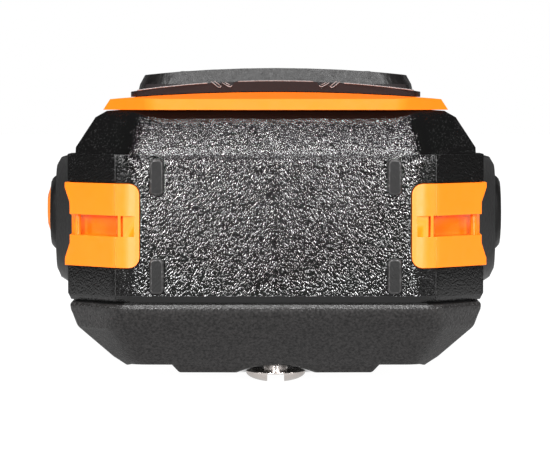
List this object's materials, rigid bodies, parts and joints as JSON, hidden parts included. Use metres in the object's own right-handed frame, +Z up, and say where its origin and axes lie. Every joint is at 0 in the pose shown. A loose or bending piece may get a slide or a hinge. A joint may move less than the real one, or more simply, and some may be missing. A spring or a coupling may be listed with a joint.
{
  "type": "laser distance meter",
  "caption": "Rugged hand-held laser distance meter lying on its back, with a keypad, display, strap lugs, side grips and a hinged battery cover.",
  "frame": {"origin": "centre of the bounding box's bottom; the meter lies on its back", "axes": "+X to the right seen from the rear end, +Y the way the laser fires, +Z up out of the display"},
  "size_m": [0.0744, 0.1398, 0.0485],
  "materials": {
    "black_plastic": "textured, satin",
    "back_plastic": "fine grain",
    "bezel_plastic": "fine grain",
    "orange_plastic": "satin",
    "orange_rubber": "matte",
    "black_rubber": "matte",
    "key_rubber": "matte",
    "silicone": "matte",
    "display": "gloss",
    "clear_window": "polished",
    "smoked_plate": "gloss",
    "optical_glass": "polished",
    "circuit_board": "solder mask",
    "nickel": "nickel plate",
    "steel": "plain",
    "alloy": "die cast",
    "brass": "turned",
    "cell_can": "printed can"
  },
  "bodies": {
    "housing": {"upper_housing": "black_plastic", "back_shell": "back_plastic", "front_bezel": "bezel_plastic", "buzzer": "bezel_plastic", "top_frame": "orange_plastic", "strap_lug_right": "orange_plastic", "strap_lug_left": "orange_plastic", "side_grip_right": "black_rubber", "side_grip_left": "black_rubber", "rear_pad_upper_right": "black_rubber", "rear_pad_upper_left": "black_rubber", "rear_pad_lower_right": "black_rubber", "rear_pad_lower_left": "black_rubber", "keypad_mat": "silicone", "lcd_connector": "silicone", "display_panel": "display", "display_window": "clear_window", "front_plate": "smoked_plate", "receiver_window": "optical_glass", "laser_window": "optical_glass", "receiver_lens": "optical_glass", "collimator_lens": "optical_glass", "main_board": "circuit_board", "detector_board": "circuit_board", "hinge_pin": "nickel", "battery_spring_1": "nickel", "battery_spring_2": "nickel", "battery_spring_3": "nickel", "battery_spring_4": "nickel", "contact_strip_rear": "nickel", "contact_strip_front": "nickel", "housing_screw_rear_right": "steel", "housing_screw_rear_left": "steel", "housing_screw_front_right": "steel", "housing_screw_front_left": "steel", "optics_frame": "alloy", "screw_insert": "brass", "laser_barrel": "brass", "tripod_insert": "brass", "battery_1": "cell_can", "battery_2": "cell_can", "battery_3": "cell_can", "battery_4": "cell_can"},
    "key_measure": {"key_measure": "orange_rubber"},
    "key_area": {"key_area": "key_rubber"},
    "key_reference": {"key_reference": "key_rubber"},
    "key_plus": {"key_plus": "key_rubber"},
    "key_menu": {"key_menu": "key_rubber"},
    "key_minus": {"key_minus": "key_rubber"},
    "key_memory": {"key_memory": "key_rubber"},
    "key_units": {"key_units": "key_rubber"},
    "key_clear": {"key_clear": "key_rubber"},
    "side_key_right": {"side_key_right": "orange_rubber"},
    "side_key_left": {"side_key_left": "orange_rubber"},
    "cover": {"battery_cover": "back_plastic", "battery_seal": "black_rubber"},
    "coin_screw": {"coin_screw": "nickel", "screw_retainer": "steel"}
  },
  "joints": [
    {"name": "battery_cover_hinge", "type": "hinge", "parent": "housing", "child": "cover", "pos_m": [0.00025, 0.01405, 0.00316], "axis": [1, 0, 0], "range_deg": [0, 70]},
    {"name": "coin_screw_turn", "type": "hinge", "parent": "cover", "child": "coin_screw", "pos_m": [0.00025, -0.05695, 0.00177], "axis": [0, 0, 1], "range_deg": [-90, 0]},
    {"name": "key_measure_press", "type": "slide", "parent": "housing", "child": "key_measure", "axis": [0, 0, -1], "range_m": [0, 0.0008], "stiffness_N_per_m": 800},
    {"name": "key_area_press", "type": "slide", "parent": "housing", "child": "key_area", "axis": [0, 0, -1], "range_m": [0, 0.0008], "stiffness_N_per_m": 800},
    {"name": "key_reference_press", "type": "slide", "parent": "housing", "child": "key_reference", "axis": [0, 0, -1], "range_m": [0, 0.0008], "stiffness_N_per_m": 800},
    {"name": "key_plus_press", "type": "slide", "parent": "housing", "child": "key_plus", "axis": [0, 0, -1], "range_m": [0, 0.0008], "stiffness_N_per_m": 800},
    {"name": "key_menu_press", "type": "slide", "parent": "housing", "child": "key_menu", "axis": [0, 0, -1], "range_m": [0, 0.0008], "stiffness_N_per_m": 800},
    {"name": "key_minus_press", "type": "slide", "parent": "housing", "child": "key_minus", "axis": [0, 0, -1], "range_m": [0, 0.0008], "stiffness_N_per_m": 800},
    {"name": "key_memory_press", "type": "slide", "parent": "housing", "child": "key_memory", "axis": [0, 0, -1], "range_m": [0, 0.0008], "stiffness_N_per_m": 800},
    {"name": "key_units_press", "type": "slide", "parent": "housing", "child": "key_units", "axis": [0, 0, -1], "range_m": [0, 0.0008], "stiffness_N_per_m": 800},
    {"name": "key_clear_press", "type": "slide", "parent": "housing", "child": "key_clear", "axis": [0, 0, -1], "range_m": [0, 0.0008], "stiffness_N_per_m": 800},
    {"name": "side_key_right_press", "type": "slide", "parent": "housing", "child": "side_key_right", "axis": [-1, 0, 0], "range_m": [0, 0.0009], "stiffness_N_per_m": 900},
    {"name": "side_key_left_press", "type": "slide", "parent": "housing", "child": "side_key_left", "axis": [1, 0, 0], "range_m": [0, 0.0009], "stiffness_N_per_m": 900}
  ]
}
